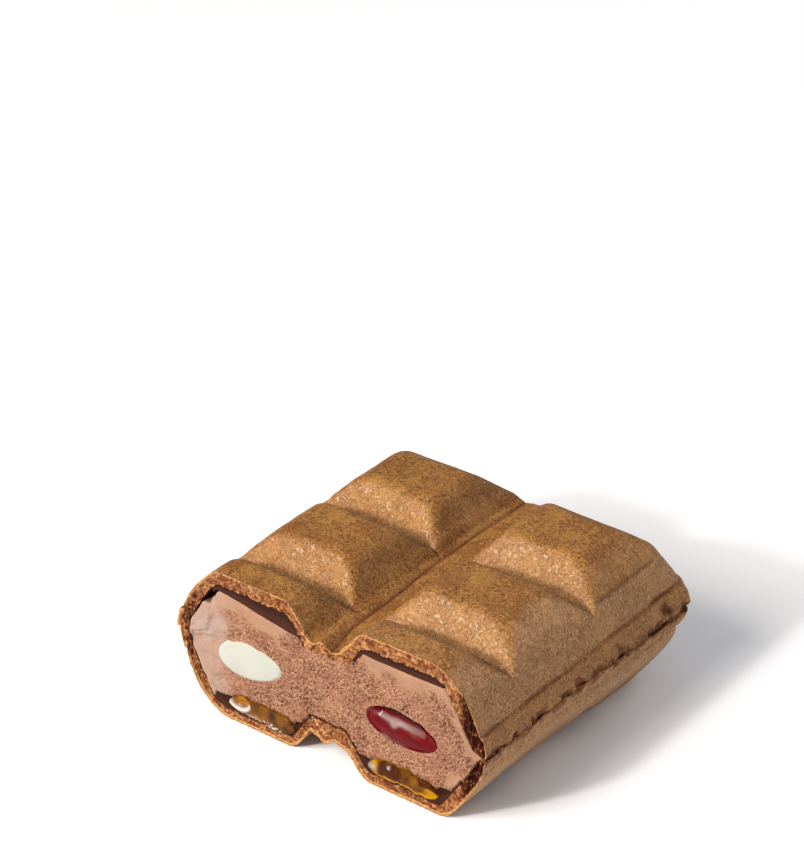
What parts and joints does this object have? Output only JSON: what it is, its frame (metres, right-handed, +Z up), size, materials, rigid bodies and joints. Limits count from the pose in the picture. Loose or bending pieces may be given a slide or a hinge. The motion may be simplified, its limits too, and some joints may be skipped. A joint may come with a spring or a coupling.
{
  "type": "ice cream sandwich",
  "caption": "Half of a wafer-shell ice cream bar, cut across: moulded blocks outside, ice cream, chocolate, cream and fruit sauces showing at the cut.",
  "frame": {"origin": "middle of the footprint, on the surface that the bar rests on", "axes": "+X across the two columns of blocks, +Y from the cut face to the closed end, +Z up"},
  "size_m": [0.07, 0.064, 0.0313],
  "materials": {
    "wafer": "dry, fine-grained baked wafer",
    "ice_cream": "finely pitted frozen ice cream",
    "chocolate": "smooth, half-glossy dark chocolate",
    "cream": "soft matte white cream",
    "berry_sauce": "wet, deep red fruit sauce",
    "caramel_sauce": "wet, clear brown syrup",
    "honey_sauce": "wet, clear yellow syrup"
  },
  "bodies": {
    "root": {"wafer_upper": "wafer", "wafer_lower": "wafer", "ice_cream": "ice_cream", "chocolate_plate_left": "chocolate", "chocolate_plate_right": "chocolate", "chocolate_lining_left": "chocolate", "chocolate_lining_right": "chocolate", "cream_core": "cream", "berry_core": "berry_sauce", "sauce_left": "caramel_sauce", "sauce_right": "honey_sauce"}
  },
  "joints": []
}
